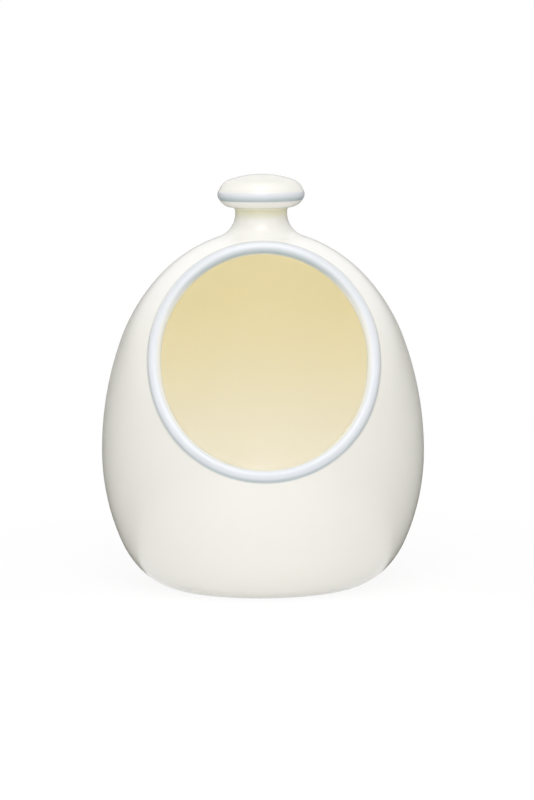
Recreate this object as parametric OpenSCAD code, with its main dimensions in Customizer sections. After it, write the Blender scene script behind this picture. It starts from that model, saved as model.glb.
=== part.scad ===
// Salt pig: a glazed egg-shaped pot with a tilted oval mouth and a banded knob on a short neck.
// Its side is a chain of tangent arcs turned about Z. It stands on z = 0 and its mouth faces -Y.

/* [Body] */
// Width of the pot at its belly
body_w = 116; // [110:1:122]
// Radius of the side's arc just above the belly
shoulder_r = 118; // [106:1:130]
// Radius of the next arc up, where the side turns in
upper_r = 67.5; // [60:0.5:75]
// Radius of the arc below the crown
brow_r = 54.5; // [48:0.5:61]
// Radius of the side's arc just below the belly
flank_r = 80; // [72:1:88]
// Radius of the next arc down, where the side turns under
under_r = 32.5; // [29:0.5:36]
// Radius of the last arc, which runs down to the table
heel_r = 22.5; // [20:0.5:25]
// Thickness of the fired wall
wall = 3.5; // [3:0.1:4]
// Thickness of the floor above the foot ring
floor_t = 3.8; // [3.2:0.1:4.4]
// Thickness of the glaze that lines the inside
liner_t = 0.5; // [0.4:0.05:0.7]

/* [Foot] */
// Height of the foot ring, and depth of the hollow under the floor
foot_h = 2.5; // [2:0.1:3]
// Width of the ring's standing face, between the hollow and the pot's side
ring_w = 5; // [4:0.1:7]

/* [Mouth] */
// Height of the lowest point of the mouth's rim line
sill_z = 46.5; // [42:0.5:52]
// How far the rim line is hollowed back at mid height, seen from the side
mouth_sag = 4.3; // [2:0.1:6]
// Clear crown between the rim's bead and the flare of the neck
rim_gap = 1.3; // [0.8:0.1:3]
// Radius of the bead round the mouth
bead_r = 2.35; // [2:0.05:2.7]
// Depth of the bead's centre line below the pot's outer face
bead_depth = 1.5; // [1.2:0.05:1.8]
// Distance from the bead's centre line out to its seat on the wall
bead_seat = 1.2; // [0.8:0.05:1.5]

/* [Neck] */
// Width of the neck
neck_w = 18.6; // [17:0.2:20]
// Radius of the hollow flare between the crown and the neck
flare_r = 8.8; // [7:0.2:10]
// Height of the straight neck above the flare
neck_h = 2.2; // [1.5:0.1:4]
// Width of the socket in the neck, which holds the knob's plug
socket_w = 10; // [8:0.5:12]
// Depth of that socket
socket_d = 8; // [6:0.5:9]

/* [Knob] */
// Width of the knob over its band
knob_w = 31.2; // [29:0.2:34]
// Height of the knob above the neck
knob_h = 11.8; // [11:0.1:13]
// Radius of the knob's shallow dome
dome_r = 34; // [30:1:40]
// Radius of the turn from the dome to the knob's side
edge_r = 5.6; // [5:0.1:6.2]
// Radius of the turn from the knob's underside up to the band
lip_r = 5; // [4.4:0.1:6]
// Height of the band's lower edge above the underside
lip_h = 2.7; // [2.2:0.1:3.2]
// Height of the raised band round the knob
band_h = 3.7; // [3.2:0.1:4.2]
// How far the band stands out from its seat
band_out = 0.7; // [0.5:0.05:1]
// Depth of the seat below the knob's widest point
seat_d = 0.35; // [0.2:0.05:0.6]

/* [Fits] */
// Slip-filled gap round the knob's plug
plug_gap = 0.15; // [0.05:0.05:0.3]
// Gap between the end of the plug and the bottom of the socket
plug_end_gap = 0.5; // [0.3:0.1:1]
// Gap between the bead's lap and the pot's outer face
lap_gap = 0.05; // [0.02:0.01:0.1]

/* [Hidden] */

// Angles above level of the side's normal where one arc hands over to the next
up_angles = [0, 20, 42, 60];
down_angles = [0, -24, -46, -72.7];
bowl_angle = -36;

// Smoothness of the true circles, and steps along and across the bead
round_fn = 240;
rim_steps = 96;
bead_steps = 12;

// Limits of the patch that keeps one arc of a circle, as shares of its radius
near_share = 0.9;
far_share = 1.5;

// Reach of the mouth's cutter into and out of the pot, as a share of its width
cut_share = 0.22;
overrun = 1;

// An arc is [centre r, centre z, radius, low angle, high angle]
function at(angle, r) = r * [cos(angle), sin(angle)];
function centre(arc) = [arc[0], arc[1]];
function low_end(arc, inset) = centre(arc) + at(arc[3], arc[2] - inset);
function high_end(arc, inset) = centre(arc) + at(arc[4], arc[2] - inset);
function last(list) = list[len(list) - 1];
function flip(list) = [for (i = [len(list) - 1 : -1 : 0]) list[i]];
function sort_ends(arc) = [arc[0], arc[1], arc[2], min(arc[3], arc[4]), max(arc[3], arc[4])];

// Tangent arcs one after another from a point of the side
function chain(point, radii, angles, i = 0) =
    i == len(radii) ? [] :
    let (c = point - at(angles[i], radii[i]))
    concat(
        [[c[0], c[1], radii[i], angles[i], angles[i + 1]]],
        chain(c + at(angles[i + 1], radii[i]), radii, angles, i + 1)
    );

// The belly stands as high as the arcs below it reach
down_radii = [flank_r, under_r, heel_r];
up_radii = [shoulder_r, upper_r, brow_r];
belly_z = -chain([0, 0], down_radii, down_angles)[2][1] - at(down_angles[3], heel_r)[1];
belly = [body_w / 2, belly_z];
down_arcs = [for (arc = flip(chain(belly, down_radii, down_angles))) sort_ends(arc)];
up_arcs = chain(belly, up_radii, up_angles);

// The crown is a ball centred on the axis, and the flare rests against it
brow_end = high_end(last(up_arcs), 0);
crown_r = brow_end[0] / cos(last(up_angles));
crown_z = brow_end[1] - crown_r * sin(last(up_angles));
neck_r = neck_w / 2;
flare_c = [neck_r + flare_r, crown_z + sqrt(pow(crown_r + flare_r, 2) - pow(neck_r + flare_r, 2))];
flare_angle = acos(flare_c[0] / (crown_r + flare_r));
neck_top = flare_c[1] + neck_h;
crown = [0, crown_z, crown_r, last(up_angles), flare_angle];
side_arcs = concat(down_arcs, up_arcs, [crown]);

// The bowl leaves the side on the way under, and turns into its level floor
under_arc = down_arcs[1];
bowl_start = centre(under_arc) + at(bowl_angle, under_r);
bowl_floor = foot_h + floor_t - wall;
bowl_r = (bowl_start[1] - bowl_floor) / (1 + sin(bowl_angle));
bowl_c = bowl_start - at(bowl_angle, bowl_r);
cavity_arcs = concat(
    [[bowl_c[0], bowl_c[1], bowl_r, -90, bowl_angle]],
    [[under_arc[0], under_arc[1], under_r, bowl_angle, under_arc[4]]],
    [down_arcs[2]],
    up_arcs,
    [[0, crown_z, crown_r, last(up_angles), 90]]
);

// Radius of the side, and the angle of its normal, at a height and a depth below the outer face
function arc_index(z, inset, i = 0) =
    i == len(side_arcs) - 1 || z <= high_end(side_arcs[i], inset)[1] ? i : arc_index(z, inset, i + 1);
function radius_at(z, inset) =
    let (arc = side_arcs[arc_index(z, inset)])
    arc[0] + sqrt(max(0, pow(arc[2] - inset, 2) - pow(z - arc[1], 2)));
function normal_at(z, inset) =
    let (arc = side_arcs[arc_index(z, inset)])
    asin((z - arc[1]) / (arc[2] - inset));

// The hollow under the floor is what the ring leaves of the foot
hollow_r = radius_at(0, 0) - ring_w;

// The rim line lies bead_depth under the outer face, and seen from the side it is a shallow hollow curve
lintel_angle = flare_angle - (bead_r + rim_gap) / crown_r * 180 / PI;
lintel_z = crown_z + (crown_r - bead_depth) * sin(lintel_angle);
lintel = [-radius_at(lintel_z, bead_depth), lintel_z];
sill = [-radius_at(sill_z, bead_depth), sill_z];
mouth_mid = (lintel + sill) / 2;
mouth_half = (lintel - sill) / 2;
mouth_tilt = atan2(mouth_half[0], mouth_half[1]);
function rim_point(t) =
    let (
        side = mouth_mid + mouth_half * cos(t) + [mouth_sag * pow(sin(t), 2), 0],
        r = radius_at(side[1], bead_depth),
        x = sign(sin(t)) * sqrt(max(0, r * r - side[0] * side[0]))
    )
    [x, side[0], side[1]];
function rim_normal(p) =
    let (a = normal_at(p[2], bead_depth), r = norm([p[0], p[1]]))
    [cos(a) * p[0] / r, cos(a) * p[1] / r, sin(a)];

// The same in the mouth's own frame: across, up the tilted mouth, and out of it
function to_mouth(v) = [
    v[0],
    v[1] * sin(mouth_tilt) + v[2] * cos(mouth_tilt),
    v[2] * sin(mouth_tilt) - v[1] * cos(mouth_tilt)
];
mouth_c = [0, mouth_mid[0], mouth_mid[1]];
rim = [for (i = [0 : rim_steps - 1]) rim_point(360 * i / rim_steps)];
rim_line = [for (p = rim) to_mouth(p - mouth_c)];
rim_out = [
    for (i = [0 : rim_steps - 1])
    let (along = rim_line[(i + 1) % rim_steps] - rim_line[(i + rim_steps - 1) % rim_steps])
    [-along[1], along[0]] / norm([along[0], along[1]])
];

// Section of the bead at one point of the rim, in steps out across the wall and out of the mouth.
// It sits on the cut wall, laps over the outer face, and runs down to the glaze inside.
function bead_section(i) =
    let (
        n = to_mouth(rim_normal(rim[i])),
        p = n[0] * rim_out[i][0] + n[1] * rim_out[i][1],
        q = n[2],
        over = bead_depth + lap_gap,
        under = bead_depth - wall - liner_t,
        lap = atan2(q, p) - acos(over / norm([p, q]) / bead_r),
        tail = [bead_seat, (under - bead_seat * p) / q],
        tail_angle = 360 + atan2(tail[1], tail[0]) - acos(min(1, bead_r / norm(tail)))
    )
    concat(
        [tail, [bead_seat, (over - bead_seat * p) / q]],
        [for (j = [0 : bead_steps]) at(lap + (tail_angle - lap) * j / bead_steps, bead_r)]
    );

// The knob's arcs, measured from its underside
side_r = knob_w / 2 - band_out;
band_z = lip_h + band_h / 2;
band_top = lip_h + band_h;
dome_c = [0, knob_h - dome_r];
edge_c = [
    side_r + seat_d - edge_r,
    dome_c[1] + sqrt(pow(dome_r - edge_r, 2) - pow(side_r + seat_d - edge_r, 2))
];
edge_top_angle = atan2(edge_c[1] - dome_c[1], edge_c[0]);
edge_arc = [edge_c[0], edge_c[1], edge_r, asin((band_top - edge_c[1]) / edge_r), edge_top_angle];
dome_arc = [0, dome_c[1], dome_r, edge_top_angle, 90];
lip_arc = [
    side_r - sqrt(pow(lip_r, 2) - pow(lip_r - lip_h, 2)),
    lip_r,
    lip_r,
    -90,
    -asin((lip_r - lip_h) / lip_r)
];
plug_r = socket_w / 2 - plug_gap;
plug_h = socket_d - plug_end_gap;
band_arc_r = (pow(band_h / 2, 2) + pow(band_out, 2)) / (2 * band_out);

// The part of a circle between an arc and a chord just inside it
module arc_patch(arc, inset) {
    r = arc[2] - inset;
    intersection() {
        translate(centre(arc)) circle(r = r, $fn = round_fn);
        translate(centre(arc)) polygon([
            at(arc[3], r * near_share),
            at(arc[3], r * far_share),
            at(arc[4], r * far_share),
            at(arc[4], r * near_share)
        ]);
    }
}

// Half section bounded by straight runs between points, with arcs bulging out of them
module half_section(points, arcs, inset = 0) {
    polygon(points);
    for (arc = arcs) arc_patch(arc, inset);
}

// Half section of the whole pot as a solid, from the table to the top of the neck
module pot_section() {
    difference() {
        half_section(
            concat(
                [[0, 0]],
                [for (arc = side_arcs) low_end(arc, 0)],
                [high_end(crown, 0), [neck_r, flare_c[1]], [neck_r, neck_top], [0, neck_top]]
            ),
            side_arcs
        );
        flare_cut();
    }
}

// Slice of a circle that hollows the flare, from the foot of the neck round to the crown
module flare_cut() {
    intersection() {
        translate(flare_c) circle(r = flare_r, $fn = round_fn);
        translate(flare_c) polygon([
            [0, 0],
            at(180, flare_r * far_share),
            at(180 + flare_angle / 2, flare_r * far_share),
            at(180 + flare_angle, flare_r * far_share)
        ]);
    }
}

// Half section of the hollow inside, at a depth below the outer face
module cavity_section(inset) {
    half_section(
        concat(
            [[0, bowl_floor + inset]],
            [for (arc = cavity_arcs) low_end(arc, inset)],
            [high_end(last(cavity_arcs), inset)]
        ),
        cavity_arcs,
        inset
    );
}

// Everything in front of the pot that the oval mouth removes
module mouth_cut() {
    reach = body_w * cut_share;
    translate(mouth_c)
        rotate([90 - mouth_tilt, 0, 0])
            translate([0, 0, -reach])
                linear_extrude(2 * reach)
                    polygon([
                        for (i = [0 : rim_steps - 1])
                        [rim_line[i][0], rim_line[i][1]] + bead_seat * rim_out[i]
                    ]);
}

// Egg-shaped wall with its floor and neck, cut for the mouth and bored for the knob
module pot_shell() {
    color([0.97, 0.96, 0.93])
        difference() {
            rotate_extrude($fn = round_fn)
                difference() {
                    pot_section();
                    cavity_section(wall);
                    translate([0, -overrun]) square([body_w, foot_h + overrun]);
                    translate([0, neck_top - socket_d]) square([socket_w / 2, socket_d + overrun]);
                }
            mouth_cut();
        }
}

// Coat of glaze that lines the hollow
module liner_glaze() {
    color([0.91, 0.86, 0.69])
        difference() {
            rotate_extrude($fn = round_fn)
                difference() {
                    cavity_section(wall);
                    cavity_section(wall + liner_t);
                }
            mouth_cut();
        }
}

// Rounded bead luted round the mouth
module mouth_rim() {
    sides = bead_steps + 3;
    count = rim_steps * sides;
    points = [
        for (i = [0 : rim_steps - 1])
        for (s = bead_section(i))
        [
            rim_line[i][0] + s[0] * rim_out[i][0],
            rim_line[i][1] + s[0] * rim_out[i][1],
            rim_line[i][2] + s[1]
        ]
    ];
    faces = [
        for (i = [0 : rim_steps - 1])
        for (j = [0 : sides - 1])
        let (
            a = i * sides + j,
            b = i * sides + (j + 1) % sides,
            c = (a + sides) % count,
            d = (b + sides) % count
        )
        each [[a, b, d], [a, d, c]]
    ];
    color([0.88, 0.92, 0.95])
        translate(mouth_c)
            rotate([90 - mouth_tilt, 0, 0])
                polyhedron(points, faces);
}

// Ring that the pot stands on, wiped clean of glaze where it meets the table
module foot_ring() {
    color([0.90, 0.87, 0.80])
        rotate_extrude($fn = round_fn)
            intersection() {
                pot_section();
                translate([hollow_r, 0]) square([body_w, foot_h]);
            }
}

// Mushroom knob with a plug below it and a seat for its band
module knob() {
    color([0.98, 0.97, 0.95])
        translate([0, 0, neck_top])
            rotate_extrude($fn = round_fn)
                half_section(
                    [
                        [0, -plug_h],
                        [plug_r, -plug_h],
                        [plug_r, 0],
                        low_end(lip_arc, 0),
                        high_end(lip_arc, 0),
                        [side_r, band_top],
                        low_end(edge_arc, 0),
                        high_end(edge_arc, 0),
                        [0, knob_h]
                    ],
                    [lip_arc, edge_arc, dome_arc]
                );
}

// Half-round band on the knob's side
module knob_band() {
    color([0.80, 0.86, 0.91])
        translate([0, 0, neck_top])
            rotate_extrude($fn = round_fn)
                intersection() {
                    translate([knob_w / 2 - band_arc_r, band_z]) circle(r = band_arc_r, $fn = round_fn);
                    translate([side_r, lip_h]) square([band_arc_r, band_h]);
                }
}

pot_shell();
liner_glaze();
mouth_rim();
foot_ring();
knob();
knob_band();
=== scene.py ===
import math

import bmesh
import bpy
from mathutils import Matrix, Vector


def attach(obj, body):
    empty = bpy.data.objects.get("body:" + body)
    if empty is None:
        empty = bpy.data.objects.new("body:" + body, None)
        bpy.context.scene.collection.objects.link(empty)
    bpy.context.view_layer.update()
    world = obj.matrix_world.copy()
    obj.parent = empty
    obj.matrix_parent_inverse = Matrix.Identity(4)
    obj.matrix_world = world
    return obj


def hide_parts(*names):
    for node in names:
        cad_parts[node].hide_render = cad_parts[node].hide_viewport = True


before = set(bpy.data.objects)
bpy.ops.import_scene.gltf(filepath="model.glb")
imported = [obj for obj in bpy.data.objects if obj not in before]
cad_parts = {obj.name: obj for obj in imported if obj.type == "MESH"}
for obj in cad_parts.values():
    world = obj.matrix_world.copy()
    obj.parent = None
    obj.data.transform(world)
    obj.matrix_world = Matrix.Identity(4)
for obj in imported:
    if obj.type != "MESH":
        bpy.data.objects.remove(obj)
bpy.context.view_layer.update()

MM = 0.001

# The pot's side: tangent arcs above and below its belly, as radii and the angles of their normals
BODY_W = 116 * MM
UP_RADII = [118 * MM, 67.5 * MM, 54.5 * MM]
UP_ANGLES = [0, 20, 42, 60]
DOWN_RADII = [80 * MM, 32.5 * MM, 22.5 * MM]
DOWN_ANGLES = [0, -24, -46, -72.7]
WALL = 3.5 * MM
FLOOR_T = 3.8 * MM
LINER_T = 0.5 * MM
BOWL_ANGLE = -36

# Foot ring, neck and socket
FOOT_H = 2.5 * MM
RING_W = 5 * MM
NECK_R = 9.3 * MM
FLARE_R = 8.8 * MM
NECK_H = 2.2 * MM
SOCKET_R = 5 * MM
SOCKET_D = 8 * MM

# Mouth: its lowest point, how far its rim line is hollowed back, and the bead along it
SILL_Z = 46.5 * MM
MOUTH_SAG = 4.3 * MM
RIM_GAP = 1.3 * MM
BEAD_R = 2.35 * MM
BEAD_DEPTH = 1.5 * MM

# The bead's section goes round to this angle, and then back through these points inside the wall
BEAD_END = 262
BEAD_INSIDE = [(1.6 * MM, -2.42 * MM), (2 * MM, -1.2 * MM), (2.2 * MM, 0.6 * MM)]

# The knife that opens the mouth: the rings of its side, in and out from the rim line, and its tips
KNIFE_RINGS = (-8 * MM, 0, 5 * MM)
KNIFE_TIPS = (-12 * MM, 90 * MM)

# Knob and band, measured from the knob's underside
KNOB_W = 31.2 * MM
KNOB_H = 11.8 * MM
DOME_R = 34 * MM
EDGE_R = 5.6 * MM
LIP_R = 5 * MM
LIP_H = 2.7 * MM
BAND_H = 3.7 * MM
BAND_OUT = 0.7 * MM
BAND_IN = 0.4 * MM
SEAT_D = 0.35 * MM
PLUG_GAP = 0.15 * MM
PLUG_END_GAP = 0.5 * MM

# How the glaze lies: its skin at the foot, which ends in a roll between these angles from the side's
# normal, and the hollow curves it settles into
SKIN_T = 0.35 * MM
SKIN_END = 0.6 * MM
SKIN_ROLL = (-150, -30)
FOOT_FILLET = 0.8 * MM
COLLAR_FILLET = 1.3 * MM
BEAD_FILLET = 2.6 * MM
FILLET_SINK = 0.08 * MM
BAND_FILLET = 1.6 * MM

# The foot ring's rubbed inner edge, how far in its outer one is rubbed, and the points of its outside
RING_ROUND = 0.6 * MM
RING_RUB = 0.4 * MM
RING_HEIGHTS = [0.06 * MM, 0.2 * MM, 0.5 * MM, 1 * MM, 1.7 * MM, FOOT_H]

# How much the glaze gathers at the floor's edge, share of the flare where the neck's glaze starts to
# gather, heights from which the shell's coat is painted whiter, as painted light on the crown, and
# where that mostly fades again near the neck, and heights where the liner's yellow is painted deeper,
# as painted shade high in the bowl
FLOOR_POOL = 0.5
NECK_POOL = (0.7, 1.05)
CROWN_LIGHT_SPAN = (88 * MM, 120 * MM)
CROWN_LIGHT_END = (123 * MM, 131 * MM)
CROWN_LIGHT_LOSS = 0.8
LINER_SHADE_SPAN = (30 * MM, 105 * MM)

# Where the blue thins to cream and where it is darker, which on the bead's flanks is partly gathered
# glaze and partly painted shade, as angles round the bead's section from outwards, and as shares of the
# band's height
THIN_OUT = (60, 30)
THIN_LEFT = 0.8
THIN_IN = (135, 235)
POOL_AND_SHADE_OUT = (88, 58)
POOL_AND_SHADE_OUT_MOST = 0.85
POOL_AND_SHADE_IN = (108, 162)
BAND_THIN = (0.65, 1.35)
BAND_DARKER_BELOW = (0.95, 0.1)

# Painted light and shade on the blue: how far a face's normal points up where it is painted palest,
# without pooling, and where darkest, with full pooling, and how much later it turns to cream on the
# second
SHADE_FACES = (0.25, -0.6)
LIGHT_SHIFT = 0.75

# Fineness of the turned and swept forms: gaps between the points of their arcs, and steps
POINT_GAP = 1.2 * MM
FLARE_GAP = 0.6 * MM
COLLAR_GAP = 0.3 * MM
FOOT_GAP = 0.25 * MM
RING_GAP = 0.15 * MM
KNOB_GAP = 0.4 * MM
BAND_GAP = 0.15 * MM
BEAD_GAP = 0.2 * MM
FILLET_GAP = 0.12 * MM
LEAST_STEPS = 4
SKIN_STEPS = 4
TURN_STEPS = 256
RIM_STEPS = 320
WELD = 0.002 * MM
CREASE = math.radians(38)

# Glaze: its slow clouds of tint and the ripple in its gloss, both from noise about its mean, its
# pinholes and its relief
NOISE_MEAN = 0.5
CLOUD_SCALE = 30
CLOUD_DETAIL = 4
CLOUD = 0.25
RIPPLE_SCALE = 260
RIPPLE_DETAIL = 2
RIPPLE_GLOSS = 0.05
PINHOLE_SCALE = 420
PINHOLE_R = 0.07
PINHOLE_DEPTH = 0.25
GLAZE_ROUGHNESS = 0.14
GLAZE_IOR = 1.5
GLAZE_BUMP = 0.04
GLAZE_RELIEF = 0.15 * MM

# Bare clay: its grain, and the patches that are a little soiled
GRAIN_SCALE = 1800
GRAIN_DETAIL = 6
GRAIN_BUMP = 0.5
GRAIN_RELIEF = 0.1 * MM
PATCH_SCALE = 120
PATCH_DETAIL = 3
PATCH_SPAN = (0.35, 0.65)
CLAY_ROUGHNESS = 0.85

# Studio: light from all round, and the pale floor
WHITE = (1, 1, 1, 1)
FILL = 0.58
PAPER = (0.86, 0.86, 0.86, 1)
FLOOR_REACH = 4
FLOOR_DROP = 0.05 * MM

# The floor's glow where it is seen, near the pot and from a distance on, and its light on the pot,
# from far out and from in front
FLOOR_GLOW = 0.9
GLOW_FADE = (100 * MM, 900 * MM)
FAR_LIGHT = 0.23
FAR_FADE = (80 * MM, 260 * MM)
FRONT_LIGHT = 0.21
FRONT_LIGHT_AT = (0, -75 * MM, 0)
FRONT_FADE = (110 * MM, 20 * MM)

# Lamps: name, place, width, power, and whether the glaze reflects them
LAMP_AIM = (0, 0, 70 * MM)
LAMPS = (
    ("front_softbox", (0, -1.4, 1.05), 1.5, 7.2, True),
    ("brow_softbox", (0, -0.85, 1.45), 0.7, 3.6, True),
    ("top_softbox", (0, -0.3, 1.5), 1.2, 4.4, True),
    ("back_softbox", (0, 1.5, 0.45), 1.2, 2.4, False),
    ("left_softbox", (-1.3, -1.1, 0.9), 1.2, 4.1, True),
    ("right_softbox", (1.3, -1.1, 0.9), 1.2, 2.9, True),
)
BOUNCE_AT = (0, 0, 54 * MM)
BOUNCE_SIZE = 20 * MM
BOUNCE_POWER = 0.0124

# Cards that the glaze reflects: their dark tint, the steps round them, how high they lie, the radii
# of their rings on the floor, and the heights of those above the last one
CARD_DARK = (0.04, 0.04, 0.02, 1)
CARD_STEPS = 96
CARD_LIFT = 0.5 * MM
CARD_RINGS = [
    0.036, 0.0375, 0.039, 0.0405, 0.042, 0.045, 0.05, 0.055, 0.062, 0.07,
    0.08, 0.1, 0.13, 0.18, 0.25, 0.4, 0.8, 1.6, 2.5,
]
CARD_HEIGHTS = [0.15, 0.25, 0.35, 0.45, 0.55, 0.7, 1.1]

# Radii between which they darken in front, the radius where that ends behind the pot, and how the
# one goes over into the other; the heights between which they fade; how much darker they get from
# straight behind to the sides, and how they fade to white from there to straight in front
CARD_NEAR = (0.036, 0.3)
CARD_NEAR_BACK = 0.041
CARD_TURN = (0.2, -0.6)
CARD_FADE = (0.2, 0.85)
CARD_BACK = (0.1, 0.6)
BACK_DARK = 0.65
CARD_FRONT = (0.3, 0.8)

# The photograph's frame, where its lens looks, and its distance
PHOTO_W = 534
PHOTO_H = 800
AXIS_PX = (262.5, 386)
FOCAL_PX = 3335
SENSOR = 36
NEAR_CLIP = 50 * MM
VIEW_DIST = 1200 * MM
AIM_Z = 71.3 * MM
VIEW_UP = math.radians(6.8)
VIEW_TURN = math.radians(1.1)
VIEW_ROLL = math.radians(0.45)


# Arcs are (centre r, centre z, radius, first angle, last angle), angles in degrees
def turn(angle, r):
    return Vector((r * math.cos(math.radians(angle)), r * math.sin(math.radians(angle))))


def chain(point, radii, angles):
    """Tangent arcs one after another from a point of the side."""
    arcs = []
    for radius, first, last in zip(radii, angles, angles[1:]):
        c = point - turn(first, radius)
        arcs.append((c.x, c.y, radius, first, last))
        point = c + turn(last, radius)
    return arcs


def arc_end(arc):
    return Vector(arc[:2]) + turn(arc[4], arc[2])


def backwards(arcs):
    return [(r, z, radius, last, first) for r, z, radius, first, last in reversed(arcs)]


def points_on(arc, inset=0.0, gap=POINT_GAP):
    """Points along an arc at a depth below it, both ends included."""
    r, z, radius, first, last = arc
    length = abs(radius * math.radians(last - first))
    count = max(LEAST_STEPS, round(length / gap))
    angles = [first + (last - first) * i / count for i in range(count + 1)]
    return [Vector((r, z)) + turn(a, radius - inset) for a in angles]


def faded(value, span):
    """0 at the span's first value, 1 at its second, smooth between."""
    share = min(1, max(0, (value - span[0]) / (span[1] - span[0])))
    return share * share * (3 - 2 * share)


belly_z = -arc_end(chain(Vector((0, 0)), DOWN_RADII, DOWN_ANGLES)[-1]).y
belly = Vector((BODY_W / 2, belly_z))
down_arcs = backwards(chain(belly, DOWN_RADII, DOWN_ANGLES))
up_arcs = chain(belly, UP_RADII, UP_ANGLES)
brow_end = arc_end(up_arcs[-1])
crown_r = brow_end.x / math.cos(math.radians(UP_ANGLES[-1]))
crown_z = brow_end.y - crown_r * math.sin(math.radians(UP_ANGLES[-1]))
flare_r = NECK_R + FLARE_R
flare_z = crown_z + math.sqrt((crown_r + FLARE_R) ** 2 - flare_r ** 2)
flare_angle = math.degrees(math.acos(flare_r / (crown_r + FLARE_R)))
neck_top = flare_z + NECK_H
crown = (0, crown_z, crown_r, UP_ANGLES[-1], flare_angle)
side_arcs = down_arcs + up_arcs + [crown]


def arc_at(z, inset):
    for arc in side_arcs[:-1]:
        if z <= arc[1] + turn(arc[4], arc[2] - inset).y:
            return arc
    return side_arcs[-1]


def radius_at(z, inset=0.0):
    r, arc_z, radius = arc_at(z, inset)[:3]
    return r + math.sqrt(max(0.0, (radius - inset) ** 2 - (z - arc_z) ** 2))


def rise_at(z, inset=0.0):
    """Angle of the side's normal above level."""
    r, arc_z, radius = arc_at(z, inset)[:3]
    return math.asin((z - arc_z) / (radius - inset))


# The rim line: a shallow hollow curve seen from the side, laid on the pot
lintel_angle = math.radians(flare_angle) - (BEAD_R + RIM_GAP) / crown_r
lintel_z = crown_z + (crown_r - BEAD_DEPTH) * math.sin(lintel_angle)
lintel = Vector((-radius_at(lintel_z, BEAD_DEPTH), lintel_z))
sill = Vector((-radius_at(SILL_Z, BEAD_DEPTH), SILL_Z))
mouth_mid = (lintel + sill) / 2
mouth_half = (lintel - sill) / 2

# The knob's side under its band, and the arcs of its dome, edge and lip
knob_side = KNOB_W / 2 - BAND_OUT
band_top = LIP_H + BAND_H
dome_z = KNOB_H - DOME_R
edge_r = knob_side + SEAT_D - EDGE_R
edge_z = dome_z + math.sqrt((DOME_R - EDGE_R) ** 2 - edge_r ** 2)
lip_r = knob_side - math.sqrt(LIP_R ** 2 - (LIP_R - LIP_H) ** 2)


def rim_point(t):
    side = mouth_mid + mouth_half * math.cos(t)
    y = side.x + MOUTH_SAG * math.sin(t) ** 2
    reach = math.sqrt(max(0.0, radius_at(side.y, BEAD_DEPTH) ** 2 - y * y))
    return Vector((math.copysign(reach, math.sin(t)), y, side.y))


def rim_face(p):
    """Normal of the pot's side at a point of the rim line."""
    a = rise_at(p.z, BEAD_DEPTH)
    level = Vector((p.x, p.y, 0)).normalized()
    return Vector((level.x * math.cos(a), level.y * math.cos(a), math.sin(a)))


def tone(red, green, blue):
    """Linear colour of a tint that is written as it looks, from 0 to 255."""
    def linear(v):
        v /= 255
        return v / 12.92 if v <= 0.04045 else ((v + 0.055) / 1.055) ** 2.4
    return (linear(red), linear(green), linear(blue), 1)


def in_scene(name, data):
    """New object in the scene."""
    thing = bpy.data.objects.new(name, data)
    bpy.context.scene.collection.objects.link(thing)
    return thing


def add(tree, kind, inputs=None, **settings):
    """New node with its settings and inputs; an input is a value or another node's socket."""
    node = tree.nodes.new(kind)
    for name, value in settings.items():
        setattr(node, name, value)
    for key, value in (inputs or {}).items():
        if isinstance(value, bpy.types.NodeSocket):
            tree.links.new(value, node.inputs[key])
        else:
            node.inputs[key].default_value = value
    return node


def result(tree, kind, inputs=None, **settings):
    """First output of a new node."""
    return add(tree, kind, inputs, **settings).outputs[0]


def maths(tree, operation, *values, **settings):
    return result(tree, "ShaderNodeMath", dict(enumerate(values)), operation=operation, **settings)


def vector_maths(tree, operation, inputs):
    return result(tree, "ShaderNodeVectorMath", inputs, operation=operation)


def eased(tree, value, span, ends):
    """From the first end to the second while the value crosses the span, smoothly."""
    inputs = {"Value": value, "From Min": span[0], "From Max": span[1]}
    inputs |= {"To Min": ends[0], "To Max": ends[1]}
    return result(tree, "ShaderNodeMapRange", inputs, interpolation_type="SMOOTHSTEP")


def blended(tree, share, first, second):
    """From the first shader to the second as the share goes from 0 to 1."""
    return result(tree, "ShaderNodeMixShader", {0: share, 1: first, 2: second})


def tinted(tree, share, first, second):
    """From the first colour to the second. A Mix node takes colours at 6 and 7 and gives them at 2."""
    inputs = {0: share, 6: first, 7: second}
    return add(tree, "ShaderNodeMix", inputs, data_type="RGBA").outputs[2]


def socket(tree, name, kind, value=None, side="INPUT"):
    new = tree.interface.new_socket(name, in_out=side, socket_type="NodeSocket" + kind)
    if value is not None:
        new.default_value = value


def attribute(tree, name, kind="FLOAT"):
    return result(tree, "GeometryNodeInputNamedAttribute", {"Name": name}, data_type=kind)


def stored(tree, form, name, value):
    inputs = {"Geometry": form, "Name": name, "Value": value}
    return result(tree, "GeometryNodeStoreNamedAttribute", inputs, data_type="FLOAT", domain="POINT")


def sampled(tree, geometry, value, where, kind="FLOAT_VECTOR"):
    inputs = {"Geometry": geometry, "Value": value, "Index": where}
    return result(tree, "GeometryNodeSampleIndex", inputs, data_type=kind)


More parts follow.
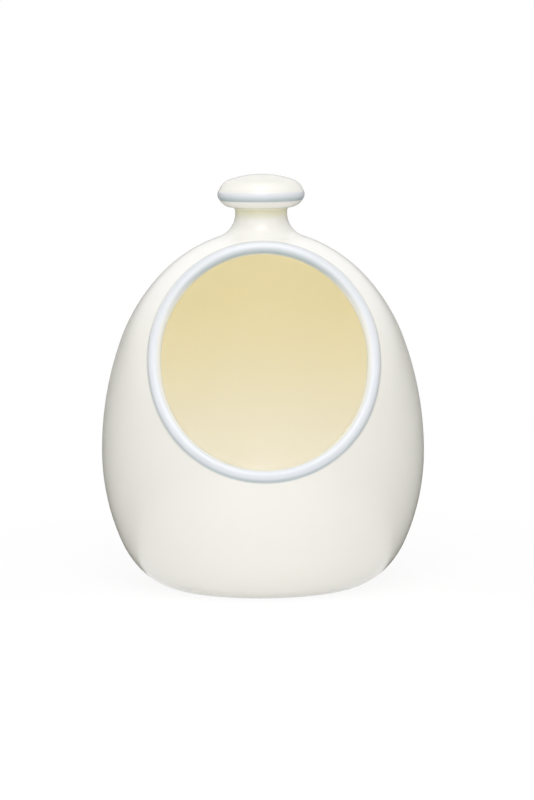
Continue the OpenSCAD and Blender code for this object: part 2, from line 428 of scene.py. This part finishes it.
def laid_clay(tree, given):
    """A grid with a column for each point of the section and a row for each point of the line, laid
    along the line and welded where its ends meet."""
    line = given["Line"]
    section = add(tree, "GeometryNodeObjectInfo", {"Object": given["Section"]}).outputs["Geometry"]
    rows = add(tree, "GeometryNodeAttributeDomainSize", {"Geometry": line}).outputs["Point Count"]
    columns = add(tree, "GeometryNodeAttributeDomainSize", {"Geometry": section}).outputs["Point Count"]
    grid = add(tree, "GeometryNodeMeshGrid", {"Vertices X": columns, "Vertices Y": rows})
    index = result(tree, "GeometryNodeInputIndex")
    column = result(tree, "FunctionNodeIntegerMath", {0: index, 1: rows}, operation="DIVIDE_FLOOR")
    row = result(tree, "FunctionNodeIntegerMath", {0: index, 1: rows}, operation="MODULO")
    here = result(tree, "GeometryNodeInputPosition")
    spot = add(tree, "ShaderNodeSeparateXYZ", {0: sampled(tree, section, here, column)}).outputs
    place = sampled(tree, line, here, row)
    for name, reach in (("out", spot["X"]), ("up", spot["Z"])):
        way = sampled(tree, line, attribute(tree, name, "FLOAT_VECTOR"), row)
        step = vector_maths(tree, "SCALE", {"Vector": way, "Scale": reach})
        place = vector_maths(tree, "ADD", {0: place, 1: step})
    inputs = {"Geometry": grid.outputs["Mesh"], "Position": place}
    form = result(tree, "GeometryNodeSetPosition", inputs)
    for name in ("pool", "thin"):
        form = stored(tree, form, name, sampled(tree, section, attribute(tree, name), column, "FLOAT"))
    form = result(tree, "GeometryNodeFlipFaces", {"Mesh": form})
    form = result(tree, "GeometryNodeMergeByDistance", {"Geometry": form, "Distance": given["Weld"]})
    return result(tree, "GeometryNodeSetShadeSmooth", {"Geometry": form})


def paint_light_and_shade(tree, form, facing_shade):
    """Painted light and shade: the glaze gets no pooling and turns to cream sooner on faces that look
    up, and keeps its pooling and turns to cream later on those that look down.
    """
    rise = add(tree, "ShaderNodeSeparateXYZ", {0: result(tree, "GeometryNodeInputNormal")}).outputs["Z"]
    inputs = {"Value": rise, "From Min": SHADE_FACES[0], "From Max": SHADE_FACES[1]}
    low = result(tree, "ShaderNodeMapRange", inputs)
    low = maths(tree, "MULTIPLY_ADD", low, facing_shade, maths(tree, "SUBTRACT", 1.0, facing_shade))
    form = stored(tree, form, "pool", maths(tree, "MULTIPLY", attribute(tree, "pool"), low))
    shift = maths(tree, "MULTIPLY", facing_shade, LIGHT_SHIFT)
    left = maths(tree, "SUBTRACT", attribute(tree, "thin"), maths(tree, "MULTIPLY", shift, low))
    thin = maths(tree, "DIVIDE", left, maths(tree, "SUBTRACT", 1.0, shift), use_clamp=True)
    return stored(tree, form, "thin", thin)


def opened_clay(tree, form, given):
    """Takes the mouth and the hollow away. Only triangles are left, so that no face is folded flat."""
    kinds = {"operation": "DIFFERENCE", "solver": "MANIFOLD"}
    cut = add(tree, "GeometryNodeMeshBoolean", {"Mesh 1": form}, **kinds)
    for name in ("Mouth", "Hollow"):
        taken = add(tree, "GeometryNodeObjectInfo", {"Object": given[name]}).outputs["Geometry"]
        tree.links.new(taken, cut.inputs["Mesh 2"])
    return result(tree, "GeometryNodeTriangulate", {"Mesh": cut.outputs["Mesh"]})


def sweeping_tree():
    """Carries a section along a line. The section's X runs along each line point's "out", and its Z
    along "up". The facing shade input says how far the glaze is painted darker, as painted shade, on
    faces that look down, and paler, as painted light, on those that look up. Cut says whether the
    hollow and the mouth are taken away."""
    tree = bpy.data.node_groups.new("swept_clay", "GeometryNodeTree")
    for name, kind in (
        ("Line", "Geometry"),
        ("Section", "Object"),
        ("Hollow", "Object"),
        ("Mouth", "Object"),
        ("Cut", "Bool"),
        ("Facing Shade", "Float"),
        ("Weld", "Float"),
        ("Finish", "Material"),
    ):
        socket(tree, name, kind)
    socket(tree, "Form", "Geometry", side="OUTPUT")
    given = add(tree, "NodeGroupInput").outputs
    form = paint_light_and_shade(tree, laid_clay(tree, given), given["Facing Shade"])
    inputs = {"Switch": given["Cut"], "False": form, "True": opened_clay(tree, form, given)}
    form = result(tree, "GeometryNodeSwitch", inputs, input_type="GEOMETRY")
    form = result(tree, "GeometryNodeRealizeInstances", {"Geometry": form})
    form = result(tree, "GeometryNodeSetMaterial", {"Geometry": form, "Material": given["Finish"]})
    add(tree, "NodeGroupOutput", {"Form": form})
    return tree


def mesh_object(name, points, faces=(), **attributes):
    """Object with a mesh, and float or vector attributes on its points."""
    mesh = bpy.data.meshes.new(name)
    mesh.from_pydata(points, [], faces)
    for key, values in attributes.items():
        if isinstance(values[0], Vector):
            data = mesh.attributes.new(key, "FLOAT_VECTOR", "POINT").data
            data.foreach_set("vector", [c for v in values for c in v])
        else:
            mesh.attributes.new(key, "FLOAT", "POINT").data.foreach_set("value", values)
    return in_scene(name, mesh)


def section_object(name, points, closed):
    """A section from points of (r, z, pool, thin), of which the last two may be left out: pool is 1
    where the glaze gathers and where shade is painted, and thin where it runs off and where light is
    painted."""
    points = [(*p, 0, 0)[:4] for p in points]
    if closed:
        points.append(points[0])
    places = [(p[0], 0, p[1]) for p in points]
    return mesh_object(name, places, pool=[p[2] for p in points], thin=[p[3] for p in points])


def turning_line():
    """Every point is the pot's axis, and each looks out in its own direction."""
    angles = [math.tau * i / TURN_STEPS for i in range(TURN_STEPS)] + [0]
    out = [Vector((math.cos(a), math.sin(a), 0)) for a in angles]
    up = [Vector((0, 0, 1))] * len(out)
    return mesh_object("axis_line", [(0, 0, 0)] * len(out), out=out, up=up)


def rim_line():
    """Points along the mouth's rim, with the pot's normal and the direction out across the wall."""
    line = [rim_point(-math.tau * i / RIM_STEPS) for i in range(RIM_STEPS)]
    up = [rim_face(p) for p in line]
    out = []
    for i, face in enumerate(up):
        along = (line[(i + 1) % RIM_STEPS] - line[i - 1]).normalized()
        out.append(along.cross(face).normalized())
    return mesh_object("rim_line", line + line[:1], out=out + out[:1], up=up + up[:1])


def mouth_knife():
    """A wedge that opens the wall square to its face, all along the rim line."""
    line = [rim_point(math.tau * i / RIM_STEPS) for i in range(RIM_STEPS)]
    faces_out = [rim_face(p) for p in line]
    points = [p + n * reach for reach in KNIFE_RINGS for p, n in zip(line, faces_out)]
    middle = Vector((0, mouth_mid.x, mouth_mid.y))
    way_out = Vector((0, -mouth_half.y, mouth_half.x)).normalized()
    points += [middle + way_out * reach for reach in KNIFE_TIPS]
    inner, outer = len(points) - 2, len(points) - 1
    top = (len(KNIFE_RINGS) - 1) * RIM_STEPS
    faces = []
    for i in range(RIM_STEPS):
        j = (i + 1) % RIM_STEPS
        for a in range(0, top, RIM_STEPS):
            faces.append((a + i, a + j, a + RIM_STEPS + j, a + RIM_STEPS + i))
        faces.append((inner, j, i))
        faces.append((outer, top + i, top + j))
    knife = mesh_object("mouth_knife", points, faces)
    work = bmesh.new()
    work.from_mesh(knife.data)
    bmesh.ops.recalc_face_normals(work, faces=work.faces)
    work.to_mesh(knife.data)
    work.free()
    return knife


def swept(name, line, points, finish=None, closed=False, hollow=None, mouth=None, facing_shade=0.0):
    """Runs the sweeping tree on a copy of a line and keeps the plain mesh that comes out."""
    section = section_object(name + "_section", points, closed)
    maker = in_scene(name + "_line", line.data)
    modifier = maker.modifiers.new("swept_clay", "NODES")
    modifier.node_group = SWEEP
    given = {
        "Section": section,
        "Hollow": hollow,
        "Mouth": mouth,
        "Cut": mouth is not None,
        "Facing Shade": facing_shade,
        "Weld": WELD,
        "Finish": finish,
    }
    for item in SWEEP.interface.items_tree:
        if item.in_out == "INPUT" and given.get(item.name) is not None:
            modifier[item.identifier] = given[item.name]
    bpy.context.view_layer.update()
    seen = maker.evaluated_get(bpy.context.evaluated_depsgraph_get())
    mesh = bpy.data.meshes.new_from_object(seen)
    maker.modifiers.remove(modifier)
    bpy.data.objects.remove(maker)
    bpy.data.objects.remove(section)
    mesh.set_sharp_from_angle(angle=CREASE)
    return in_scene(name, mesh)


def pot_section():
    """Outside of the pot from the middle of its underside, up its side, and down into the socket."""
    ring_in = radius_at(0) - RING_W
    fillet = (ring_in - FOOT_FILLET, FOOT_H - FOOT_FILLET, FOOT_FILLET, 90, 0)
    points = [(0, FOOT_H), (ring_in / 2, FOOT_H)]
    points += [(p.x, p.y, FLOOR_POOL) for p in points_on(fillet, gap=FOOT_GAP)]
    # down the back of the glaze's skin on the foot ring, and round its rolled lower edge
    skin_z = [FOOT_H - (FOOT_H - SKIN_END) * i / SKIN_STEPS for i in range(SKIN_STEPS + 1)]
    points += [(radius_at(z, SKIN_T), z) for z in skin_z]
    roll_r = SKIN_T / 2
    start, end = [math.degrees(rise_at(SKIN_END, roll_r)) + angle for angle in SKIN_ROLL]
    points += points_on((radius_at(SKIN_END, roll_r), SKIN_END, roll_r, start, end))
    for arc in side_arcs[:-1]:
        lowest = max(SKIN_END, points[-1][1] + WELD)
        points += [p for p in points_on(arc) if p.y > lowest]
    points += points_on(crown)[1:]
    bends = points_on((flare_r, flare_z, FLARE_R, 180 + flare_angle, 180), gap=FLARE_GAP)
    points += [(p.x, p.y, faded(i / len(bends), NECK_POOL)) for i, p in enumerate(bends)][1:]
    collar = (NECK_R + COLLAR_FILLET, neck_top - COLLAR_FILLET, COLLAR_FILLET, 180, 90)
    points += [(p.x, p.y, 1) for p in points_on(collar, gap=COLLAR_GAP)]
    points += [(SOCKET_R, neck_top), (SOCKET_R, neck_top - SOCKET_D), (0, neck_top - SOCKET_D)]
    # Painted light: the shell's coat is tinted whiter from the brow up, and this mostly fades again
    # just below the neck
    section = []
    for r, z, pool in [(*p, 0)[:3] for p in points]:
        thin = faded(z, CROWN_LIGHT_SPAN) * (1 - CROWN_LIGHT_LOSS * faded(z, CROWN_LIGHT_END))
        section.append((r, z, pool, thin * (1 - pool)))
    return section


def bowl_points(inset):
    """Inside of the pot at a depth below its face, from the middle of the floor to the crown's top."""
    under = down_arcs[1]
    start = Vector(under[:2]) + turn(BOWL_ANGLE, under[2])
    floor_z = FOOT_H + FLOOR_T - WALL
    bowl_r = (start.y - floor_z) / (1 + math.sin(math.radians(BOWL_ANGLE)))
    centre = start - turn(BOWL_ANGLE, bowl_r)
    arcs = [
        (centre.x, centre.y, bowl_r, -90, BOWL_ANGLE),
        (*under[:3], BOWL_ANGLE, under[4]),
        down_arcs[2],
        *up_arcs,
        (0, crown_z, crown_r, UP_ANGLES[-1], 90),
    ]
    points = [(0, floor_z + inset), (centre.x / 2, floor_z + inset)]
    for arc in arcs:
        points += [tuple(p) for p in points_on(arc, inset) if math.dist(p, points[-1]) > WELD]
    points[-1] = (0, points[-1][1])
    # Painted shade: the liner's yellow is deeper towards the top of the bowl
    return [(r, z, faded(z, LINER_SHADE_SPAN)) for r, z in points]


def bead_tint(p):
    """How far the blue pools, which on the bead's flanks is partly painted shade, and how far it thins
    to cream, at a point of the bead's section.
    """
    angle = math.degrees(math.atan2(p.y, p.x)) % 360
    pool = max(faded(angle, POOL_AND_SHADE_OUT) * POOL_AND_SHADE_OUT_MOST, faded(angle, POOL_AND_SHADE_IN))
    thin = max(faded(angle, THIN_OUT) * THIN_LEFT, faded(angle, THIN_IN))
    return pool, thin


def bead_section():
    """Round bead with glaze that settles in the corner it makes with the pot's face."""
    centre_z = BEAD_DEPTH - FILLET_SINK + BEAD_FILLET
    reach = math.sqrt((BEAD_R + BEAD_FILLET) ** 2 - centre_z ** 2)
    meet = math.degrees(math.atan2(centre_z, reach))
    foot = points_on((reach, centre_z, BEAD_FILLET, -90, -180 + meet), gap=FILLET_GAP)
    crest = points_on((0, 0, BEAD_R, meet, BEAD_END), gap=BEAD_GAP)[1:]
    return [(p.x, p.y, *bead_tint(p)) for p in foot + crest] + BEAD_INSIDE


def fillet_centre(a, a_reach, b, b_reach, side):
    """Where two circles about a and b cross, on the given side of the line between them."""
    between = b - a
    gap = between.length
    along = (a_reach ** 2 - b_reach ** 2 + gap ** 2) / (2 * gap)
    aside = math.sqrt(a_reach ** 2 - along ** 2)
    level = between / gap
    return a + level * along + Vector((level.y, -level.x)) * aside * side


def arc_between(centre, radius, start, end):
    """Short arc about a centre, from the direction of one point to that of another."""
    first = math.degrees(math.atan2(start.y - centre.y, start.x - centre.x))
    last = math.degrees(math.atan2(end.y - centre.y, end.x - centre.x))
    last = first + (last - first + 180) % 360 - 180
    return points_on((*centre, radius, first, last), gap=BAND_GAP)


def on_neck(points):
    """Points of the knob or band, from its underside up, raised to the neck's top."""
    return [(p[0], p[1] + neck_top, *p[2:]) for p in points]


def knob_section():
    """Knob from the middle of its plug's end, out along the lip and over the dome."""
    plug_r = SOCKET_R - PLUG_GAP
    plug_h = SOCKET_D - PLUG_END_GAP
    lip_end = -math.degrees(math.asin((LIP_R - LIP_H) / LIP_R))
    edge_low = math.degrees(math.asin((band_top - edge_z) / EDGE_R))
    edge_top = math.degrees(math.atan2(edge_z - dome_z, edge_r))
    face = points_on((lip_r, LIP_R, LIP_R, -90, lip_end), gap=KNOB_GAP)
    face += [Vector((knob_side, band_top))]
    face += points_on((edge_r, edge_z, EDGE_R, edge_low, edge_top), gap=KNOB_GAP)
    face += points_on((0, dome_z, DOME_R, edge_top, 90))[1:]
    points = [(0, -plug_h), (plug_r, -plug_h), (plug_r, 0)] + [tuple(p) for p in face]
    points[-1] = (0, points[-1][1])
    return on_neck(points)


def band_section():
    """Half-round band on its seat, with glaze that settles above and below it."""
    bulge_r = ((BAND_H / 2) ** 2 + BAND_OUT ** 2) / (2 * BAND_OUT)
    bulge = Vector((knob_side + BAND_OUT - bulge_r, LIP_H + BAND_H / 2))
    over = Vector((edge_r, edge_z))
    under = Vector((lip_r, LIP_R))
    high = fillet_centre(bulge, bulge_r + BAND_FILLET, over, EDGE_R + BAND_FILLET, 1)
    low = fillet_centre(bulge, bulge_r + BAND_FILLET, under, LIP_R + BAND_FILLET, -1)
    foot = arc_between(low, BAND_FILLET, under, bulge)
    crest = arc_between(bulge, bulge_r, low, high)
    head = arc_between(high, BAND_FILLET, bulge, over)
    points = []
    # The blue is darker towards the band's lower edge and turns to cream towards its top
    for p in foot[:-1] + crest + head[1:]:
        share = (p.y - foot[0].y) / (head[-1].y - foot[0].y)
        points.append((p.x, p.y, faded(share, BAND_DARKER_BELOW), faded(share, BAND_THIN)))
    back = knob_side - BAND_IN
    return on_neck(points + [(back, band_top), (back, LIP_H)])


def ring_section():
    """Foot ring inside the glaze's skin, with its two lower edges rubbed round."""
    inner = radius_at(0) - RING_W
    inner_edge = points_on((inner + RING_ROUND, RING_ROUND, RING_ROUND, 180, 270), gap=RING_GAP)
    outside = [(radius_at(z, SKIN_T), z) for z in RING_HEIGHTS]
    return [(inner, FOOT_H), *inner_edge, (radius_at(0, SKIN_T) - RING_RUB, 0), *outside]


def glaze_group():
    """Colour, roughness and height of a glaze coat: deeper where it pools and where shade is painted,
    paler where it runs off and where light is painted.
    """
    tree = bpy.data.node_groups.new("glaze_coat", "ShaderNodeTree")
    for name in ("Coat Color", "Pooled And Shaded Color", "Thin And Lit Color"):
        socket(tree, name, "Color")
    for name, value in (
        ("Pooling And Shade", 0),
        ("Thinness And Light", 0),
        ("Cloud Scale", CLOUD_SCALE),
        ("Cloud", CLOUD),
        ("Ripple Scale", RIPPLE_SCALE),
        ("Pinhole Scale", PINHOLE_SCALE),
        ("Plain Roughness", GLAZE_ROUGHNESS),
    ):
        socket(tree, name, "Float", value)
    socket(tree, "Color", "Color", side="OUTPUT")
    socket(tree, "Roughness", "Float", side="OUTPUT")
    socket(tree, "Height", "Float", side="OUTPUT")
    given = add(tree, "NodeGroupInput").outputs
    place = add(tree, "ShaderNodeTexCoord").outputs["Object"]
    inputs = {"Vector": place, "Scale": given["Cloud Scale"], "Detail": CLOUD_DETAIL}
    cloud = result(tree, "ShaderNodeTexNoise", inputs)
    inputs = {"Vector": place, "Scale": given["Ripple Scale"], "Detail": RIPPLE_DETAIL}
    ripple = result(tree, "ShaderNodeTexNoise", inputs)
    inputs = {"Vector": place, "Scale": given["Pinhole Scale"]}
    from_hole = add(tree, "ShaderNodeTexVoronoi", inputs).outputs["Distance"]
    drift = maths(tree, "MULTIPLY", maths(tree, "SUBTRACT", cloud, NOISE_MEAN), given["Cloud"])
    share = maths(tree, "ADD", given["Pooling And Shade"], drift, use_clamp=True)
    deep = tinted(tree, share, given["Coat Color"], given["Pooled And Shaded Color"])
    shade = tinted(tree, given["Thinness And Light"], deep, given["Thin And Lit Color"])
    wave = maths(tree, "SUBTRACT", ripple, NOISE_MEAN)
    rough = maths(tree, "MULTIPLY_ADD", wave, RIPPLE_GLOSS, given["Plain Roughness"])
    level = result(tree, "ShaderNodeMapRange", {"Value": from_hole, "From Max": PINHOLE_R})
    height = maths(tree, "MULTIPLY_ADD", level, PINHOLE_DEPTH, ripple)
    add(tree, "NodeGroupOutput", {"Color": shade, "Roughness": rough, "Height": height})
    return tree


def material_tree(name):
    """New material, and its node tree with nothing in it."""
    material = bpy.data.materials.new(name)
    material.use_nodes = True
    material.node_tree.nodes.clear()
    return material, material.node_tree


def finish_material(name, coat, pooled_and_shaded, thin):
    """Glossy glaze with the tints of its plain coat, of where it pools and where shade is painted, and
    of where it runs off and where light is painted.
    """
    material, tree = material_tree(name)
    glaze = add(tree, "ShaderNodeGroup", node_tree=GLAZE)
    for key, mask in (("Pooling And Shade", "pool"), ("Thinness And Light", "thin")):
        share = add(tree, "ShaderNodeAttribute", attribute_name=mask).outputs["Fac"]
        tree.links.new(share, glaze.inputs[key])
    for key, tint in (("Coat Color", coat), ("Pooled And Shaded Color", pooled_and_shaded), ("Thin And Lit Color", thin)):
        glaze.inputs[key].default_value = tint
    inputs = {"Height": glaze.outputs["Height"], "Strength": GLAZE_BUMP, "Distance": GLAZE_RELIEF}
    relief = result(tree, "ShaderNodeBump", inputs)
    shader = result(tree, "ShaderNodeBsdfPrincipled", {
        "Base Color": glaze.outputs["Color"],
        "Roughness": glaze.outputs["Roughness"],
        "Normal": relief,
        "IOR": GLAZE_IOR,
    })
    add(tree, "ShaderNodeOutputMaterial", {"Surface": shader})
    return material


def clay_material():
    """Fired clay wiped bare: matt, grainy and a little soiled where it stands."""
    material, tree = material_tree("bare_clay")
    place = add(tree, "ShaderNodeTexCoord").outputs["Object"]
    inputs = {"Vector": place, "Scale": GRAIN_SCALE, "Detail": GRAIN_DETAIL}
    grain = result(tree, "ShaderNodeTexNoise", inputs)
    inputs = {"Vector": place, "Scale": PATCH_SCALE, "Detail": PATCH_DETAIL}
    ramp = add(tree, "ShaderNodeValToRGB", {"Fac": result(tree, "ShaderNodeTexNoise", inputs)})
    for end, spot, tint in zip(ramp.color_ramp.elements, PATCH_SPAN, (CLAY_SOILED, CLAY_CLEAN)):
        end.position = spot
        end.color = tint
    inputs = {"Height": grain, "Strength": GRAIN_BUMP, "Distance": GRAIN_RELIEF}
    relief = result(tree, "ShaderNodeBump", inputs)
    inputs = {"Base Color": ramp.outputs["Color"], "Roughness": CLAY_ROUGHNESS, "Normal": relief}
    shader = result(tree, "ShaderNodeBsdfPrincipled", inputs)
    add(tree, "ShaderNodeOutputMaterial", {"Surface": shader})
    return material


def photo_camera():
    """Camera at the photograph's angle, shifted so that the pot stands where it does there."""
    camera = bpy.data.cameras.new("photo_camera")
    camera.sensor_width = SENSOR
    camera.lens = FOCAL_PX / PHOTO_H * SENSOR
    camera.shift_x = (PHOTO_W / 2 - AXIS_PX[0]) / PHOTO_H
    camera.shift_y = (AXIS_PX[1] - PHOTO_H / 2) / PHOTO_H
    camera.clip_start = NEAR_CLIP
    level = VIEW_DIST * math.cos(VIEW_UP)
    away = Vector((
        -level * math.sin(VIEW_TURN),
        -level * math.cos(VIEW_TURN),
        VIEW_DIST * math.sin(VIEW_UP),
    ))
    holder = in_scene("photo_camera", camera)
    holder.location = Vector((0, 0, AIM_Z)) + away
    holder.rotation_euler = (-away).to_track_quat("-Z", "Y").to_euler()
    holder.rotation_euler.rotate_axis("Z", -VIEW_ROLL)
    bpy.context.scene.camera = holder


def soft_light(name, place, width, power, reflected):
    """Round softbox that looks at the pot."""
    lamp = bpy.data.lights.new(name, "AREA")
    lamp.shape = "DISK"
    lamp.size = width
    lamp.energy = power
    holder = in_scene(name, lamp)
    holder.location = place
    holder.rotation_euler = (Vector(LAMP_AIM) - Vector(place)).to_track_quat("-Z", "Y").to_euler()
    holder.visible_glossy = reflected


def bounce_light():
    """Small hidden lamp in the bowl, for the light that goes to and fro there more often than is
    traced."""
    lamp = bpy.data.lights.new("bowl_bounce", "POINT")
    lamp.energy = BOUNCE_POWER
    lamp.shadow_soft_size = BOUNCE_SIZE
    holder = in_scene("bowl_bounce", lamp)
    holder.location = BOUNCE_AT
    holder.visible_camera = False
    holder.visible_glossy = False


def background_rays(tree):
    """1 for the rays that should see the plain background."""
    path = add(tree, "ShaderNodeLightPath").outputs
    seen = maths(tree, "MAXIMUM", path["Is Camera Ray"], path["Is Glossy Ray"])
    return maths(tree, "MAXIMUM", seen, path["Is Transmission Ray"])


def studio_world():
    """Even light from all round, which looks plain white where it is seen."""
    world = bpy.data.worlds.new("studio")
    bpy.context.scene.world = world
    world.use_nodes = True
    tree = world.node_tree
    tree.nodes.clear()
    fill = result(tree, "ShaderNodeBackground", {"Color": WHITE, "Strength": FILL})
    plain = result(tree, "ShaderNodeBackground", {"Color": WHITE, "Strength": 1.0})
    add(tree, "ShaderNodeOutputWorld", {"Surface": blended(tree, background_rays(tree), fill, plain)})


def stage_floor():
    """Pale floor just under the pot, seen only from above, so that the pot's foot shows from below."""
    corners = ((-1, -1), (1, -1), (1, 1), (-1, 1))
    points = [(x * FLOOR_REACH, y * FLOOR_REACH, -FLOOR_DROP) for x, y in corners]
    floor = mesh_object("floor", points, [(0, 1, 2, 3)])
    material, tree = material_tree("floor_white")
    spot = add(tree, "ShaderNodeTexCoord").outputs["Object"]
    inputs = {0: spot, 1: FRONT_LIGHT_AT}
    near = add(tree, "ShaderNodeVectorMath", inputs, operation="DISTANCE").outputs["Value"]
    away = add(tree, "ShaderNodeVectorMath", {0: spot}, operation="LENGTH").outputs["Value"]
    front_light = eased(tree, near, FRONT_FADE, (0, FRONT_LIGHT))
    far_light = eased(tree, away, FAR_FADE, (0, FAR_LIGHT))
    inputs = {"Color": WHITE, "Strength": maths(tree, "ADD", front_light, far_light)}
    lit = result(tree, "ShaderNodeEmission", inputs)
    paper = result(tree, "ShaderNodeBsdfDiffuse", {"Color": PAPER})
    paper = result(tree, "ShaderNodeAddShader", {0: paper, 1: lit})
    glow = result(tree, "ShaderNodeEmission", {"Color": WHITE, "Strength": 1.0})
    glow_share = eased(tree, away, GLOW_FADE, (FLOOR_GLOW, 1))
    share = maths(tree, "MULTIPLY", background_rays(tree), glow_share)
    from_above = blended(tree, share, paper, glow)
    below = add(tree, "ShaderNodeNewGeometry").outputs["Backfacing"]
    clear = result(tree, "ShaderNodeBsdfTransparent")
    add(tree, "ShaderNodeOutputMaterial", {"Surface": blended(tree, below, from_above, clear)})
    floor.data.materials.append(material)


def card_glow(angle, r, z):
    """How white the cards are at a place, from 0 to 1; the angle is taken from straight behind."""
    aside = abs(math.sin(angle))
    back = math.cos(angle)
    if back > 0:
        dark = BACK_DARK + (1 - BACK_DARK) * faded(aside, CARD_BACK)
    else:
        dark = faded(aside, CARD_FRONT)
    edge = CARD_NEAR_BACK + (CARD_NEAR[1] - CARD_NEAR_BACK) * faded(back, CARD_TURN)
    dark *= faded(r, (CARD_NEAR[0], edge))
    dark *= 1 - faded(z, CARD_FADE)
    return 1 - dark


def reflection_cards():
    """Grey cards round the set, which only the glaze's reflections see, so that the pot's sides stay
    readable. They are darkest at both sides, a little lighter behind the pot, and fade to white in
    front of it, upwards, and close to the foot."""
    rings = [(r, CARD_LIFT) for r in CARD_RINGS] + [(CARD_RINGS[-1], z) for z in CARD_HEIGHTS]
    places = [(math.tau * i / CARD_STEPS, r, z) for r, z in rings for i in range(CARD_STEPS)]
    points = [(r * math.sin(a), r * math.cos(a), z) for a, r, z in places]
    faces = []
    for low in range(0, (len(rings) - 1) * CARD_STEPS, CARD_STEPS):
        high = low + CARD_STEPS
        for i in range(CARD_STEPS):
            j = (i + 1) % CARD_STEPS
            faces.append((low + i, low + j, high + j, high + i))
    cards = mesh_object("reflection_cards", points, faces, glow=[card_glow(*p) for p in places])
    material, tree = material_tree("card_grey")
    share = add(tree, "ShaderNodeAttribute", attribute_name="glow").outputs["Fac"]
    inputs = {"Color": tinted(tree, share, CARD_DARK, WHITE), "Strength": 1.0}
    add(tree, "ShaderNodeOutputMaterial", {"Surface": result(tree, "ShaderNodeEmission", inputs)})
    cards.data.materials.append(material)
    cards.visible_camera = False
    cards.visible_diffuse = False
    cards.visible_shadow = False
    cards.visible_transmission = False


# Tints of the glazes and the clay, as they look from 0 to 255
SHELL_TINT = tone(225, 223, 216)
# Painted light: the crown's whiter tint
CROWN_PAINTED_LIGHT = tone(236, 235, 231)
NECK_TINT = tone(222, 219, 192)
LINER_TINT = tone(253, 250, 242)
# Painted shade: the liner's deeper yellow high in the bowl
LINER_PAINTED_SHADE = tone(252, 243, 205)
# Blue: darker where it pools and where shade is painted, and creamy where it thins and where light is
# painted on faces that look up
BLUE_TINT = tone(207, 210, 214)
BLUE_POOLED_AND_SHADED = tone(170, 181, 183)
BLUE_THIN_AND_LIT = tone(221, 220, 212)
CLAY_SOILED = tone(206, 196, 178)
CLAY_CLEAN = tone(232, 225, 210)

photo_camera()
studio_world()
stage_floor()
reflection_cards()
for lamp in LAMPS:
    soft_light(*lamp)
bounce_light()

GLAZE = glaze_group()
CREAM = finish_material("cream_glaze", SHELL_TINT, NECK_TINT, CROWN_PAINTED_LIGHT)
YELLOW = finish_material("liner_glaze", LINER_TINT, LINER_PAINTED_SHADE, LINER_TINT)
BLUE = finish_material("blue_glaze", BLUE_TINT, BLUE_POOLED_AND_SHADED, BLUE_THIN_AND_LIT)
CLAY = clay_material()

SWEEP = sweeping_tree()
axis = turning_line()
rim = rim_line()
knife = mouth_knife()
hollow = swept("hollow", axis, bowl_points(WALL))
bowl = swept("bowl_void", axis, bowl_points(WALL + LINER_T))

pot = swept("pot_wall", axis, pot_section(), CREAM, hollow=hollow, mouth=knife)
liner = swept("liner_coat", axis, bowl_points(WALL), YELLOW, hollow=bowl, mouth=knife)
# Both blues get painted shade on faces that look down and painted light on those that look up
bead = swept("mouth_bead", rim, bead_section(), BLUE, closed=True, facing_shade=1.0)
foot = swept("foot_ring_turned", axis, ring_section(), CLAY, closed=True)
knob = swept("knob_turned", axis, knob_section(), CREAM)
band = swept("band_rolled", axis, band_section(), BLUE, closed=True, facing_shade=1.0)

for scrap in (axis, rim, knife, hollow, bowl):
    bpy.data.objects.remove(scrap)

for piece, node, slot in (
    (pot, "pot_shell", "cream_glaze"),
    (liner, "liner_glaze", "liner_glaze"),
    (bead, "mouth_rim", "blue_glaze"),
    (foot, "foot_ring", "bare_clay"),
    (knob, "knob", "cream_glaze"),
    (band, "knob_band", "blue_glaze"),
):
    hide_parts(node)
    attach(piece, "root")

bpy.context.scene.view_settings.view_transform = "Standard"
